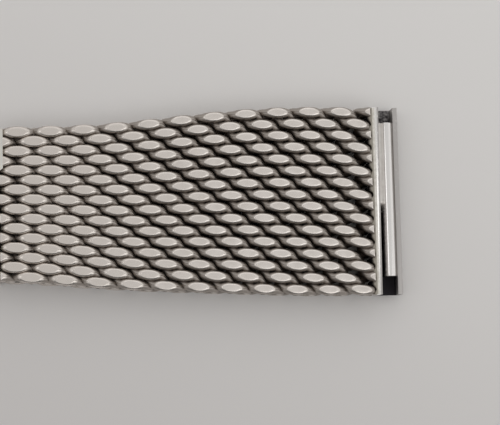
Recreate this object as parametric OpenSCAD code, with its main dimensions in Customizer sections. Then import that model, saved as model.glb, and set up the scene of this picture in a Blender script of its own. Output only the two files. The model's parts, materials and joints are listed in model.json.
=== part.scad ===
// Woven steel watch bracelet, laid out open and face down, wrist side up.
// +X runs along the strap to the lug end of the short half, +Z is the wrist side.

/* [Mesh] */
// Width of the mesh at the lug end
mesh_w_lug = 20; // [18:0.1:22]
// Width of the mesh at the clasp end
mesh_w_clasp = 15.4; // [14.6:0.1:16]
// Distance along the strap from one wire coil to the next
coil_step = 1.68; // [1.6:0.02:1.9]
// Thickness of the mesh from face to face
mesh_t = 3.4; // [3:0.1:4]
// Thickness of the wire in each half turn
wire_t = 0.7; // [0.5:0.05:0.85]
// Share of a row that its wire fills across the strap
wire_fill = 0.84; // [0.7:0.02:0.88]
// Gap between two coils where they hook into each other
hook_gap = 0.2; // [0.16:0.01:0.24]
// Half turns in one coil, which is the number of rows
rows = 16; // [12:2:20]
// How the width tapers, where 1 is a straight taper
taper_power = 1.8; // [1:0.1:2]
// Flexing coil pairs in the short half
short_pairs = 10; // [6:1:12]
// Flexing coil pairs in the long half
long_pairs = 14; // [8:1:16]

/* [Lug ends] */
// Length of the end channel across the strap
channel_l = 19.9; // [18:0.1:22]
// Width of the end channel along the strap
channel_w = 2.9; // [2.8:0.05:3.4]
// Height of the channel wall beside the mesh
channel_h = 2.8; // [2.5:0.05:3.2]
// Height of the channel's outer wall
outer_wall_h = 2.15; // [1.8:0.05:2.6]
// Thickness of the channel wall beside the mesh
inner_wall_t = 0.6; // [0.5:0.05:0.7]
// Thickness of the channel's floor and outer wall
channel_t = 0.36; // [0.3:0.02:0.5]
// Length of the spring bar tube
tube_l = 16.4; // [14:0.1:18]
// Outer radius of the spring bar tube
tube_r = 0.72; // [0.7:0.01:0.78]
// Bore radius of the spring bar tube
tube_bore_r = 0.62; // [0.52:0.01:0.64]
// How far the tube lies off the middle of its channel
tube_offset = 0.2; // [0:0.05:0.4]

/* [Clasp] */
// Length of the cover from end to end
cover_l = 32.2; // [30:0.1:36]
// Width of the channel inside the cover
cover_in_w = 16.4; // [16.4:0.1:18]
// Thickness of the cover's side walls
cover_wall = 0.8; // [0.6:0.05:1.2]
// Thickness of the cover's face
cover_face_t = 0.5; // [0.4:0.02:0.58]
// Height of the cover's side walls
cover_h = 3.2; // [2.8:0.1:3.6]
// Distance between the two hinges of the upper blade
upper_blade_l = 21; // [19:0.1:21.4]
// How much longer the lower blade is than the upper one
blade_excess = 3; // [2.8:0.1:4]
// Width of the blades
blade_w = 15; // [12:0.1:15.4]
// Thickness of the blades
blade_t = 0.6; // [0.4:0.05:0.7]
// Distance between the adjusting holes
adjust_step = 2.2; // [1.4:0.1:2.3]
// Number of adjusting holes on each side
adjust_holes = 3; // [1:1:3]
// Outer radius of the knuckles between cover and upper blade
fold_knuckle_r = 0.8; // [0.7:0.02:0.85]
// Outer radius of the knuckles between the two blades
middle_knuckle_r = 0.75; // [0.65:0.02:0.8]
// Outer radius of the knuckles at the short mesh
mesh_knuckle_r = 1.1; // [0.9:0.05:1.2]
// Radius of the hinge pins
pin_r = 0.4; // [0.3:0.02:0.45]
// Length of the middle knuckle at the short mesh
middle_knuckle_l = 6.9; // [5:0.1:8]

/* [Spring bar] */
// Radius of the spring bar's barrel
barrel_r = 0.75; // [0.7:0.01:0.8]
// Gap between each end of the barrel and the cover's side wall
barrel_end_gap = 0.7; // [0.5:0.05:1.5]
// Radius of the spring bar's tips
tip_r = 0.45; // [0.35:0.01:0.46]
// How far each tip can be pressed in
tip_travel = 0.9; // [0.86:0.02:1]

/* [Fits] */
// Radial running clearance of pins and bars
running_gap = 0.05; // [0.02:0.01:0.1]
// Gap between pieces that turn beside each other
side_gap = 0.15; // [0.1:0.01:0.2]

/* [Hidden] */
$fn = 48;
eps = 0.01;
far = 100;
spare = 1;
mid_z = mesh_t / 2;

// One coil: its faces, shoulders and legs, and the step from row to row
row_gap_half = hook_gap / 2;
coil_half_l = coil_step - row_gap_half;
leg_in = coil_step / 2 + row_gap_half;
facet_inset = 0.63;
facet_half_l = coil_half_l - facet_inset;
shoulder_drop = 0.75;
shoulder_z = mid_z - shoulder_drop;
step_half_h = 0.35;

// Where the coils lie
end_offset = 0.15;
short_last = 2 * short_pairs + 3;
long_last = 2 * long_pairs + 3;
function coil_u(k) = coil_step * k - end_offset;
function mesh_len(last) = coil_u(last) - end_offset;
function mesh_w(u, last) =
    mesh_w_lug - (mesh_w_lug - mesh_w_clasp) * pow(max(0, min(1, u / mesh_len(last))), taper_power);
function row_step(k, last) = mesh_w(coil_u(k), last) / (rows - 1 + wire_fill);

// Ends of the mesh
end_wall_t = 0.5;
end_wall_margin = 0.35;
end_braze_l = 0.5;
end_braze_inset = 0.2;

// Channel, tube and braze at the lug ends
channel_below_mid = 1.2;
channel_z = mid_z - channel_below_mid;
channel_corner = 0.8;
channel_fillet = 0.5;
wall_edge = 0.2;
tube_gap = 0.03;
tube_lift = 0.35;
tube_x = channel_w - channel_t - tube_gap - tube_r;
tube_z = channel_z + channel_t + tube_lift + tube_r;
tube_braze_gap = 0.01;
tube_braze_h = 0.35;
tube_braze_side = 0.25;
tube_braze_above = 0.3;
tube_braze_share = 0.58;

// Hinge plate on the short mesh
leaf_l = (mesh_w_clasp - middle_knuckle_l) / 2 - side_gap;
leaf_mid_y = middle_knuckle_l / 2 + side_gap + leaf_l / 2;
leaf_web_half_h = 0.8;
short_hinge_gap = 0.12;
mesh_hinge_to_wall = mesh_knuckle_r + short_hinge_gap;

// Heights and lengths of the clasp
cover_nose = 1.5;
fold_z = mid_z;
mesh_hinge_z = mid_z;
blade_gap = 0.1;
blade_shift = fold_knuckle_r + blade_t / 2 + blade_gap;
middle_z = fold_z - blade_shift / 2;
plate_clear = 0.35;
lower_blade_l = upper_blade_l + blade_excess;
middle_x = upper_blade_l;
mesh_hinge_x = upper_blade_l + lower_blade_l;
cover_out_w = cover_in_w + 2 * cover_wall;
edge_bevel = 0.35;
corner_r = 1.6;
fold_knuckle_l = cover_in_w - 2 * side_gap;
hinge_third = blade_w / 3;

// Spring bar and the fitting that turns on it
bar_to_cover_end = 2.5;
bar_x = cover_nose - cover_l + bar_to_cover_end;
barrel_l = cover_in_w - 2 * barrel_end_gap;
cover_end_gap = 0.4;
bar_to_wall = bar_to_cover_end + cover_end_gap;
fitting_face_gap = 0.1;
fitting_r = mid_z - cover_face_t - fitting_face_gap;
fitting_overhang = 0.2;
fitting_l = barrel_l + 2 * fitting_overhang;
fitting_neck_h = 1.5;
tip_recess = 0.1;
tip_out_y = cover_out_w / 2 - tip_recess;
tip_depth = 3;
tip_in_y = barrel_l / 2 - tip_depth;
spring_end_gap = 0.05;

// Catch
stud_r = 0.8;
stud_to_nose = 5.5;
stud_x = cover_nose - stud_to_nose;
stud_open_x = stud_x + 2 * upper_blade_l;
stud_head_h = 0.15;
stud_top_z = mesh_hinge_z + blade_t / 2 + stud_head_h;
stud_foot_z = 0.05;
clip_gap = 0.03;
clip_leaf_t = 0.35;
clip_l = 3;
clip_base_h = 0.25;
clip_base_w = 5;
clip_top_gap = 0.4;
clip_top_z = mesh_hinge_z - blade_t / 2 + blade_shift - clip_top_gap;
window_clear = 0.4;
window_w = 2 * (stud_r + clip_gap + clip_leaf_t + window_clear);
window_l = clip_l + 4 * window_clear;

// Where the two halves lie
short_wall_x = mesh_hinge_x + mesh_hinge_to_wall + end_wall_t + mesh_len(short_last);
long_wall_x = bar_x - bar_to_wall - end_wall_t - mesh_len(long_last);
origin_x = (short_wall_x + long_wall_x) / 2;

// Moves from the fold hinge's own place to the model's origin
module on_clasp() {
    translate([-origin_x, 0, 0]) children();
}

// Puts a half at its place, where x = 0 is the channel wall and the mesh runs to -x
module on_short() {
    translate([short_wall_x - origin_x, 0, 0]) children();
}

module on_long() {
    translate([long_wall_x - origin_x, 0, 0]) rotate([0, 0, 180]) children();
}

// A round bar across the strap
module cross_bar(r, l) {
    rotate([90, 0, 0]) cylinder(r = r, h = l, center = true);
}

module centred_y_box(x0, x1, w, z0, z1) {
    translate([x0, -w / 2, z0]) cube([x1 - x0, w, z1 - z0]);
}

// Outline of a half turn on the wrist side: a lapped face, two shoulders and two legs
function half_turn_outline() = [
    [coil_half_l, 0], [coil_half_l, shoulder_z], [facet_half_l, mid_z],
    [-facet_half_l, mid_z], [-coil_half_l, shoulder_z], [-coil_half_l, 0],
    [-leg_in, 0], [-leg_in, mid_z - wire_t], [leg_in, mid_z - wire_t], [leg_in, 0]
];

module half_turn(w) {
    rotate([90, 0, 0]) linear_extrude(height = w, center = true) polygon(half_turn_outline());
}

// One wire coil. Each half turn lies in its own row, and the wire steps to the next row
// where it passes the middle of the mesh.
module wire_coil(k, last) {
    pitch = row_step(k, last);
    w = pitch * wire_fill;
    translate([-coil_u(k), 0, mid_z]) union() {
        for (j = [0:rows - 1]) {
            up = (j + k) % 2 == 0;
            y = ((rows - 1) / 2 - j) * pitch;
            translate([0, y, 0]) mirror([0, 0, up ? 0 : 1]) half_turn(w);
            if (j < rows - 1) {
                translate([up ? leg_in : -coil_half_l, y - pitch - w / 2, -step_half_h])
                    cube([coil_half_l - leg_in, pitch + w, 2 * step_half_h]);
            }
        }
    }
}

// Two neighbouring coils, which flex together
module coil_pair(i, last) {
    color([0.78, 0.76, 0.73]) for (k = [2 * i, 2 * i + 1]) wire_coil(k, last);
}

// The last turns at an end of the mesh, brazed together and cut flush
module end_turns(first, second, from_u, to_u, last) {
    w = mesh_w((from_u + to_u) / 2, last);
    braze_z = end_wall_margin + end_braze_inset;
    intersection() {
        union() {
            wire_coil(first, last);
            wire_coil(second, last);
            centred_y_box(-to_u, -from_u, w, braze_z, mesh_t - braze_z);
        }
        centred_y_box(-mesh_len(last), 0, 2 * w, -spare, mesh_t + spare);
    }
}

module lug_turns(last) {
    color([0.72, 0.7, 0.67]) end_turns(0, 1, 0, end_braze_l, last);
}

module clasp_turns(last) {
    end_u = mesh_len(last);
    color([0.72, 0.7, 0.67]) end_turns(last, last - 1, end_u - end_braze_l, end_u, last);
}

// Section of the channel that takes the spring bar tube
module channel_outline() {
    difference() {
        union() {
            square([channel_w - channel_corner, channel_t]);
            translate([channel_w - channel_corner, channel_corner]) circle(r = channel_corner);
            translate([channel_w - channel_t, channel_corner])
                square([channel_t, outer_wall_h - channel_corner]);
            square([inner_wall_t, channel_h - wall_edge]);
            square([inner_wall_t - wall_edge, channel_h]);
        }
        translate([inner_wall_t, channel_t + channel_fillet])
            square([channel_w - channel_t - inner_wall_t, far]);
        translate([inner_wall_t, channel_t])
            square([channel_w - channel_corner - inner_wall_t, far]);
        translate([channel_w - channel_corner, channel_corner])
            circle(r = channel_corner - channel_t);
    }
}

module end_channel() {
    color([0.62, 0.61, 0.58])
        translate([0, channel_l / 2, channel_z]) rotate([90, 0, 0])
            linear_extrude(height = channel_l) channel_outline();
}

module bar_tube() {
    color([0.86, 0.85, 0.83]) translate([tube_x, tube_offset, tube_z]) difference() {
        cross_bar(tube_r, tube_l);
        cross_bar(tube_bore_r, tube_l + spare);
    }
}

// Braze under the whole tube, and up its side for part of its length
module tube_braze() {
    seat_z = channel_z + channel_t;
    side_l = tube_l * tube_braze_share;
    side_w = tube_x - tube_r - inner_wall_t + tube_braze_side;
    color([0.8, 0.78, 0.74]) difference() {
        union() {
            translate([inner_wall_t, tube_offset, seat_z])
                centred_y_box(0, channel_w - channel_corner - inner_wall_t, tube_l, 0, tube_braze_h);
            translate([inner_wall_t, tube_offset + tube_l / 2 - side_l, seat_z])
                cube([side_w, side_l, tube_z - seat_z + tube_braze_above]);
        }
        translate([tube_x, tube_offset, tube_z]) cross_bar(tube_r + tube_braze_gap, tube_l + spare);
    }
}

// A knuckle with the web that joins it to its plate, along +x or -x
module knuckle(r, y, l, web_l, web_z0, web_z1) {
    translate([0, y, 0]) {
        cross_bar(r, l);
        if (web_l > 0) centred_y_box(0, web_l, l, web_z0, web_z1);
        if (web_l < 0) centred_y_box(web_l, 0, l, web_z0, web_z1);
    }
}

// Hinge plate on the short mesh, in the short half's own frame
module hinge_plate() {
    wall = -mesh_len(short_last) - end_wall_t;
    hinge = wall - mesh_hinge_to_wall;
    color([0.66, 0.64, 0.6]) difference() {
        union() {
            centred_y_box(wall, wall + end_wall_t, mesh_w_clasp, end_wall_margin, mesh_t - end_wall_margin);
            for (side = [-1, 1]) {
                translate([hinge, 0, mesh_hinge_z])
                    knuckle(mesh_knuckle_r, side * leaf_mid_y, leaf_l, mesh_hinge_to_wall + eps,
                        -leaf_web_half_h, leaf_web_half_h);
            }
        }
        translate([hinge, 0, mesh_hinge_z]) cross_bar(pin_r, far);
    }
}

// Fitting on the long mesh that turns on the clasp's spring bar
module bar_fitting() {
    wall = -mesh_len(long_last) - end_wall_t;
    bar = wall - bar_to_wall;
    color([0.66, 0.64, 0.6]) difference() {
        union() {
            centred_y_box(wall, wall + end_wall_t, mesh_w_clasp, end_wall_margin, mesh_t - end_wall_margin);
            centred_y_box(bar, wall + eps, fitting_l, mid_z - fitting_neck_h / 2,
                mid_z + fitting_neck_h / 2);
            translate([bar, 0, mid_z]) cross_bar(fitting_r, fitting_l);
        }
        translate([bar, 0, mid_z]) cross_bar(barrel_r + running_gap, far);
    }
}

// Clasp cover: a shallow channel with bevelled edges and rounded corners
module cover_section() {
    difference() {
        polygon([
            [-cover_out_w / 2 + edge_bevel, 0], [cover_out_w / 2 - edge_bevel, 0],
            [cover_out_w / 2, edge_bevel], [cover_out_w / 2, cover_h],
            [-cover_out_w / 2, cover_h], [-cover_out_w / 2, edge_bevel]
        ]);
        translate([-cover_in_w / 2, cover_face_t]) square([cover_in_w, far]);
    }
}

module rounded_plan(x0, x1, w, r) {
    translate([x0 + r, -w / 2]) square([x1 - x0 - 2 * r, w]);
    translate([x0, -w / 2 + r]) square([x1 - x0, w - 2 * r]);
    for (x = [x0 + r, x1 - r], y = [-w / 2 + r, w / 2 - r]) translate([x, y]) circle(r = r);
}

module clasp_cover() {
    x1 = cover_nose;
    x0 = cover_nose - cover_l;
    color([0.75, 0.74, 0.72]) difference() {
        intersection() {
            translate([x0, 0, 0]) rotate([90, 0, 90]) linear_extrude(height = cover_l) cover_section();
            linear_extrude(height = cover_h) rounded_plan(x0, x1, cover_out_w, corner_r);
        }
        translate([0, 0, fold_z]) cross_bar(pin_r, far);
        for (i = [0:adjust_holes - 1]) {
            translate([bar_x + i * adjust_step, 0, mid_z]) cross_bar(tip_r + running_gap, far);
        }
    }
}

// Upper blade, between the cover and the lower blade
module upper_blade() {
    z0 = fold_z - blade_t / 2;
    z1 = fold_z + blade_t / 2;
    end_x = middle_x - middle_knuckle_r - plate_clear;
    color([0.7, 0.69, 0.67]) difference() {
        union() {
            centred_y_box(0, end_x, blade_w, z0, z1);
            translate([0, 0, fold_z]) cross_bar(fold_knuckle_r, fold_knuckle_l);
            for (side = [-1, 1]) {
                translate([middle_x, 0, middle_z])
                    knuckle(middle_knuckle_r, side * hinge_third, hinge_third - side_gap,
                        end_x - middle_x - eps, z0 - middle_z, z1 - middle_z);
            }
        }
        translate([0, 0, fold_z]) cross_bar(pin_r + running_gap, far);
        translate([middle_x, 0, middle_z]) cross_bar(pin_r, far);
        centred_y_box(-stud_x - window_l / 2, -stud_x + window_l / 2, window_w, -1, mesh_t);
    }
}

// Lower blade, between the upper blade and the short mesh
module lower_blade() {
    z0 = mesh_hinge_z - blade_t / 2;
    z1 = mesh_hinge_z + blade_t / 2;
    start_x = middle_x + middle_knuckle_r + plate_clear;
    end_x = mesh_hinge_x - mesh_knuckle_r - plate_clear;
    color([0.7, 0.69, 0.67]) difference() {
        union() {
            centred_y_box(start_x, end_x, blade_w, z0, z1);
            translate([middle_x, 0, middle_z])
                knuckle(middle_knuckle_r, 0, hinge_third - side_gap,
                    start_x - middle_x + eps, z0 - middle_z, z1 - middle_z);
            translate([mesh_hinge_x, 0, mesh_hinge_z])
                knuckle(mesh_knuckle_r, 0, middle_knuckle_l,
                    end_x - mesh_hinge_x - eps, -blade_t / 2, blade_t / 2);
        }
        translate([middle_x, 0, middle_z]) cross_bar(pin_r + running_gap, far);
        translate([mesh_hinge_x, 0, mesh_hinge_z]) cross_bar(pin_r + running_gap, far);
        translate([stud_open_x, 0, z0]) cylinder(r = stud_r / 2, h = far, center = true);
    }
}

// Catch: a stud riveted in the lower blade, and the sprung clip in the cover that grips it
module catch_stud() {
    color([0.6, 0.59, 0.57]) translate([stud_open_x, 0, 0]) {
        translate([0, 0, mesh_hinge_z + blade_t / 2]) cylinder(r = stud_r, h = stud_head_h);
        translate([0, 0, stud_foot_z])
            cylinder(r = stud_r, h = mesh_hinge_z - blade_t / 2 - stud_foot_z);
        translate([0, 0, stud_foot_z])
            cylinder(r = stud_r / 2, h = stud_top_z - stud_foot_z);
    }
}

module catch_clip() {
    x0 = stud_x - clip_l / 2;
    leaf_y = stud_r + clip_gap;
    color([0.6, 0.59, 0.57]) {
        centred_y_box(x0, x0 + clip_l, clip_base_w, cover_face_t, cover_face_t + clip_base_h);
        for (y = [leaf_y, -leaf_y - clip_leaf_t]) {
            translate([x0, y, cover_face_t]) cube([clip_l, clip_leaf_t, clip_top_z - cover_face_t]);
        }
    }
}

// Hinge pins
module fold_hinge_pin() {
    color([0.55, 0.54, 0.52]) translate([0, 0, fold_z]) cross_bar(pin_r, cover_out_w);
}

module middle_hinge_pin() {
    color([0.55, 0.54, 0.52])
        translate([middle_x, 0, middle_z]) cross_bar(pin_r, blade_w - side_gap);
}

module mesh_hinge_pin() {
    color([0.55, 0.54, 0.52])
        translate([mesh_hinge_x, 0, mesh_hinge_z]) cross_bar(pin_r, mesh_w_clasp);
}

// Spring bar of the clasp
module bar_barrel() {
    color([0.8, 0.8, 0.78]) translate([bar_x, 0, mid_z]) difference() {
        cross_bar(barrel_r, barrel_l);
        cross_bar(tip_r + running_gap, barrel_l + spare);
    }
}

module bar_spring() {
    color([0.5, 0.5, 0.5]) translate([bar_x, 0, mid_z]) difference() {
        cross_bar(tip_r, 2 * (tip_in_y - tip_travel - spring_end_gap));
        cross_bar(tip_r / 2, far);
    }
}

module bar_tip(side) {
    color([0.8, 0.8, 0.78])
        translate([bar_x, side * (tip_in_y + tip_out_y) / 2, mid_z])
            cross_bar(tip_r, tip_out_y - tip_in_y);
}

on_clasp() clasp_cover();
on_clasp() upper_blade();  // clasp_upper_blade
on_clasp() lower_blade();  // clasp_lower_blade
on_clasp() fold_hinge_pin();
on_clasp() middle_hinge_pin();
on_clasp() mesh_hinge_pin();
on_clasp() catch_clip();
on_clasp() catch_stud();
on_clasp() bar_barrel();
on_clasp() bar_spring();
on_clasp() bar_tip(-1);  // bar_tip_front
on_clasp() bar_tip(1);  // bar_tip_back

on_short() hinge_plate();  // short_hinge_plate
on_short() clasp_turns(short_last);  // short_clasp_turns
for (i = [1:short_pairs]) {
    on_short() coil_pair(i, short_last);
}
on_short() lug_turns(short_last);  // short_lug_turns
on_short() end_channel();  // short_end_channel
on_short() bar_tube();  // short_bar_tube
on_short() tube_braze();  // short_tube_braze

on_long() bar_fitting();  // long_bar_fitting
on_long() clasp_turns(long_last);  // long_clasp_turns
for (i = [1:long_pairs]) {
    on_long() coil_pair(i, long_last);
}
on_long() lug_turns(long_last);  // long_lug_turns
on_long() end_channel();  // long_end_channel
on_long() bar_tube();  // long_bar_tube
on_long() tube_braze();  // long_tube_braze
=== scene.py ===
# %% [markdown]
# # A woven steel watch bracelet
# The bracelet lies open and face down on a pale table, with the side that touches the wrist on top.
# Its weight is nearly all wire: flattened coils, hooked through each other, and pressed flat on both
# faces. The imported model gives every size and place. Here each coil of it is made again as the round
# wire that it really is, and the solid parts get soft edges and the finish of worn steel.

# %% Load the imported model
import json

import bmesh
import bpy
import numpy as np
from mathutils import Matrix, Vector


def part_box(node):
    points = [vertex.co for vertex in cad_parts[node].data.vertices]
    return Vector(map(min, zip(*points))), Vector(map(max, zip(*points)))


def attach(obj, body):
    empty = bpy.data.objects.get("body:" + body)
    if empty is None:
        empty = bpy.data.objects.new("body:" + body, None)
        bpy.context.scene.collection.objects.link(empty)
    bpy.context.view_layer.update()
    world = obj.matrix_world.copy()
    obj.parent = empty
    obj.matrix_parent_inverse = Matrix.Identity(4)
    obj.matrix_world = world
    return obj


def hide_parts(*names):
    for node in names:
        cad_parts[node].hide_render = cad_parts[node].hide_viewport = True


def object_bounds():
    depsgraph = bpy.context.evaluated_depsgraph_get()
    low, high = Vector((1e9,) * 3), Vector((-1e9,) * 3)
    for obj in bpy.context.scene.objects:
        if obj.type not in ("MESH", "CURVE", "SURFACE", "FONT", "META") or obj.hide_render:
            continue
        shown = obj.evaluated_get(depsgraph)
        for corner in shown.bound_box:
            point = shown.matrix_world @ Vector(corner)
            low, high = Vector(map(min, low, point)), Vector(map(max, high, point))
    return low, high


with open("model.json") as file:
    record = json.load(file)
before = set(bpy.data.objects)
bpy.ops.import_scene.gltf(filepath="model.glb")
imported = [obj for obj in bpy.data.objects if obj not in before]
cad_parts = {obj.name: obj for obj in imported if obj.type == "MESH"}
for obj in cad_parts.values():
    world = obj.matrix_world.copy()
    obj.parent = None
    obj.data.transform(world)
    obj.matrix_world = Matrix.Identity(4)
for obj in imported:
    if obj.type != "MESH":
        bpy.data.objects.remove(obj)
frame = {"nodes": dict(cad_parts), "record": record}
cad_low, cad_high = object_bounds()
scene = bpy.context.scene
nodes = frame["nodes"]
MM = 0.001

# %% [markdown]
# ## The camera
# The picture is taken from almost straight above the lug end of the short half, a little from the
# left and from the near side, so the left wall of the end channel hides nothing of the tube. The
# camera comes first, because every later choice is judged through it. It is aimed with a level
# horizon along the strap, and then rolled by the small angle at which it was held.

# %% Place the camera
CAMERA_AT = Vector((55.73, -16.9, 158.6)) * MM
CAMERA_AIM = Vector((71.02, -1.12, 3.4)) * MM
CAMERA_ROLL = np.radians(-1.41)
CAMERA_LENS = 108

view_axis = (CAMERA_AIM - CAMERA_AT).normalized()
level_right = view_axis.cross(Vector((0, 1, 0))).normalized()
camera_right = Matrix.Rotation(-CAMERA_ROLL, 3, view_axis) @ level_right
camera_up = camera_right.cross(view_axis)
camera_data = bpy.data.cameras.new("camera")
camera_data.lens = CAMERA_LENS
camera_data.clip_start = 0.01
camera = bpy.data.objects.new("camera", camera_data)
turn = Matrix((camera_right, camera_up, -view_axis)).transposed().to_4x4()
camera.matrix_world = Matrix.Translation(CAMERA_AT) @ turn
scene.collection.objects.link(camera)
scene.camera = camera
print("camera right axis", [round(c, 3) for c in camera_right])

# %% [markdown]
# ## Sizes of the weave
# Each coil is one step further along the strap than its neighbour, and half a turn further across
# it. So the coils with even numbers show in the even rows and the others in the rows between. The
# mesh is widest at the lugs, keeps that width for a while and then narrows to the clasp. All sizes
# are in millimetres, and lengths along the mesh are counted from the wall of the lug end.

# %% Measure the weave
COIL_STEP = 1.68
FIRST_COIL = -0.15
ROWS = 16
WIRE_ACROSS = 1.13
WIDTH_AT_LUG = 20.0
WIDTH_AT_CLASP = 16.0
TAPER_FROM, TAPER_TO = 0.143, 1.095  # as shares of the mesh's length
WORN_FROM, WORN_OVER = 0.66, 0.38  # as shares of the mesh's length
SWAY, SWAY_LENGTH = 0.14, 33.5
SLIP_AT_WALL, SLIP_ALL, SLIP_NEAR_ROWS, SLIP_OVER = 0.045, 0.4, 0.3, 38
HALF_T = (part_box("short_mesh_1")[1].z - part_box("short_mesh_1")[0].z) / 2 / MM
MID_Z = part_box("short_mesh_1")[0].z / MM + HALF_T
WALL_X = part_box("short_end_channel")[0].x / MM


def smooth(t):
    """Rises smoothly from 0 to 1 while t does, and stays level before and after."""
    t = np.clip(t, 0, 1)
    return t * t * (3 - 2 * t)


class Half:
    """One half of the bracelet: its name, its coils and whether it is turned round the middle."""

    def __init__(self, name, pairs, turned):
        self.name = name
        self.pairs = pairs
        self.last = 2 * pairs + 3
        self.length = COIL_STEP * self.last + 2 * FIRST_COIL
        self.sign = -1 if turned else 1

    def width(self, u):
        """Width of the mesh at u millimetres from the lug wall: a smooth step down to the clasp."""
        narrowed = smooth((u / self.length - TAPER_FROM) / (TAPER_TO - TAPER_FROM))
        return WIDTH_AT_LUG - (WIDTH_AT_LUG - WIDTH_AT_CLASP) * narrowed

    def row_step(self, u):
        """Distance from row to row at u, so that the rows with their wire fill the width."""
        return (self.width(u) - WIRE_ACROSS) / (ROWS - 1)

    def sway(self, u):
        """A loose mesh never lies quite straight: how far its middle lies aside at u.

        It is a sine wave whose turns get shorter towards the clasp.
        """
        return SWAY * np.sin(2 * np.pi * (np.abs(u) / SWAY_LENGTH) ** 1.35)

    def slip(self, u, row):
        """How far the loose coils have slipped towards the clasp.

        It grows nearly with the square of u, and again from the middle to the nearest rows.
        """
        share = np.clip(u / SLIP_OVER, 0, 1.5)
        nearer = ((row - 5) / 8).clip(0) ** 2
        return SLIP_AT_WALL + SLIP_ALL * share ** 1.9 + SLIP_NEAR_ROWS * share * nearer

    def near_clasp(self, u):
        """Rises from 0 to 1 over the stretch before the clasp, where the mesh is narrow and worn."""
        return smooth((u / self.length - WORN_FROM) / WORN_OVER)

    def from_side(self, points):
        """How far points of (u, across, up) lie inside the nearer side of the strap."""
        u = points[..., 0]
        return self.width(u) / 2 - np.abs(points[..., 1] - self.sway(u))

    def place(self, points):
        """Turns points of (u, across, up) into the frame: the lug wall is at WALL_X."""
        out = np.empty_like(points)
        out[..., 0] = self.sign * (WALL_X - points[..., 0])
        out[..., 1] = self.sign * points[..., 1]
        out[..., 2] = points[..., 2]
        return out


SHORT = Half("short", 10, False)
LONG = Half("long", 14, True)
print(f"mesh {2 * HALF_T:.2f} thick, {SHORT.length:.1f} and {LONG.length:.1f} long")

# %% [markdown]
# ## Meshes from arrays
# Every new surface here is a grid of points that numpy works out in one go. The faces of a grid
# depend only on how many points it has each way, so one helper writes them for all pieces.

# %% Helpers that turn arrays into mesh objects


def grid_quads(rows, columns):
    """Faces of a grid whose points run along each row first. Each row is a closed ring."""
    r = np.arange(rows - 1)[:, None] * columns
    c = np.arange(columns)[None, :]
    nxt = (c + 1) % columns
    quads = np.stack([r + c, r + nxt, r + columns + nxt, r + columns + c], axis=-1)
    return quads.reshape(-1, 4)


def end_fans(rows, columns):
    """Triangles that close both ends of a tube on two centre points stored after its grid."""
    c = np.arange(columns)
    nxt = (c + 1) % columns
    first = np.full(columns, rows * columns)
    last = first + 1
    base = (rows - 1) * columns
    near = np.stack([first, nxt, c], axis=-1)
    far = np.stack([last, base + c, base + nxt], axis=-1)
    return np.concatenate([near, far])


def make_object(name, points, quads, triangles=None):
    """Builds a smooth mesh object from points in millimetres, four-sided faces and triangles."""
    parts = [quads] if triangles is None else [quads, triangles]
    corners = np.concatenate([p.ravel() for p in parts]).astype(np.int32)
    sizes = np.concatenate([np.full(len(p), p.shape[1]) for p in parts])
    starts = np.concatenate([[0], np.cumsum(sizes)[:-1]]).astype(np.int32)
    mesh = bpy.data.meshes.new(name)
    mesh.vertices.add(len(points))
    mesh.vertices.foreach_set("co", (np.asarray(points) * MM).astype(np.float32).ravel())
    mesh.loops.add(len(corners))
    mesh.loops.foreach_set("vertex_index", corners)
    mesh.polygons.add(len(starts))
    mesh.polygons.foreach_set("loop_start", starts)
    mesh.polygons.foreach_set("use_smooth", np.ones(len(starts), dtype=bool))
    mesh.update(calc_edges=True)
    obj = bpy.data.objects.new(name, mesh)
    scene.collection.objects.link(obj)
    return obj


def read_points(obj):
    """The points of a mesh in millimetres."""
    points = np.empty(len(obj.data.vertices) * 3, dtype=np.float32)
    obj.data.vertices.foreach_get("co", points)
    return points.reshape(-1, 3) / MM


def note_values(obj, name, values):
    """Stores one length for each point of a mesh, given in millimetres, as a named attribute."""
    values = np.broadcast_to(values, len(obj.data.vertices)).astype(np.float32) * MM
    obj.data.attributes.new(name, "FLOAT", "POINT").data.foreach_set("value", values)


def finish_piece(obj, body, slot, *replaced):
    """Hangs a piece on the empty of the body that it rides on and hides the parts whose place it takes. Its
    slot, where its finish comes from, is not used.
    """
    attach(obj, body)
    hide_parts(*replaced)
    return obj


# %% [markdown]
# ## The wire
# A coil is a round wire wound on a flat former, and the finished mesh is pressed and ground until
# both faces are flat. From the side a half turn is half of an ellipse with slightly square shoulders.
# From above, the wire drifts across the strap as it goes over the top, mostly near its two ends,
# where it dives to hook round its neighbour. The press leaves the flat, leaf-shaped facets that one
# sees. They could be cut with a boolean, but the cut would be ragged, so the height of each ring of
# points is limited softly instead, and the ring's points are gathered where the edge of the facet
# runs. That keeps a clean edge with a small round on it.

# %% Work out one half turn of wire
WIRE_R = 0.486
BELLY = 1.21  # how much wider than round the wire is on top
PINCH_AT_LUG, PINCH_AT_CLASP = 2.6, 2.5  # how fast it narrows where it dives
TIGHTER = -0.2  # power of the rows' narrowing: below 0, it is a little wider where rows are tight
PRESSED = 0.125  # how much of the round wire's crown the press takes away
WORN = 0.055  # how much more is gone near the clasp
BEND_R = HALF_T + PRESSED - WIRE_R
REACH = 1.7  # how far a half turn reaches along the strap, each way
FULLNESS = 2.25  # how square its shoulders are, where 2 is a plain ellipse
FACET_ROUND = 0.045
EDGE_SPREAD = 0.13
CROWN_ACROSS, CROWN_ALONG = 0.035, 0.03  # how little a facet is domed
LEAN_AT_LUG, LEAN_AT_CLASP = 0.2, 0.06  # share of a row that the wire drifts on top
LEAN_AT_WALL, WALL_REACH = 0.32, 4.5
DIVE_AT_LUG, DIVE_AT_CLASP = (0.6, 0.98), (0.82, 1.0)  # where the dive starts and ends

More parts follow.
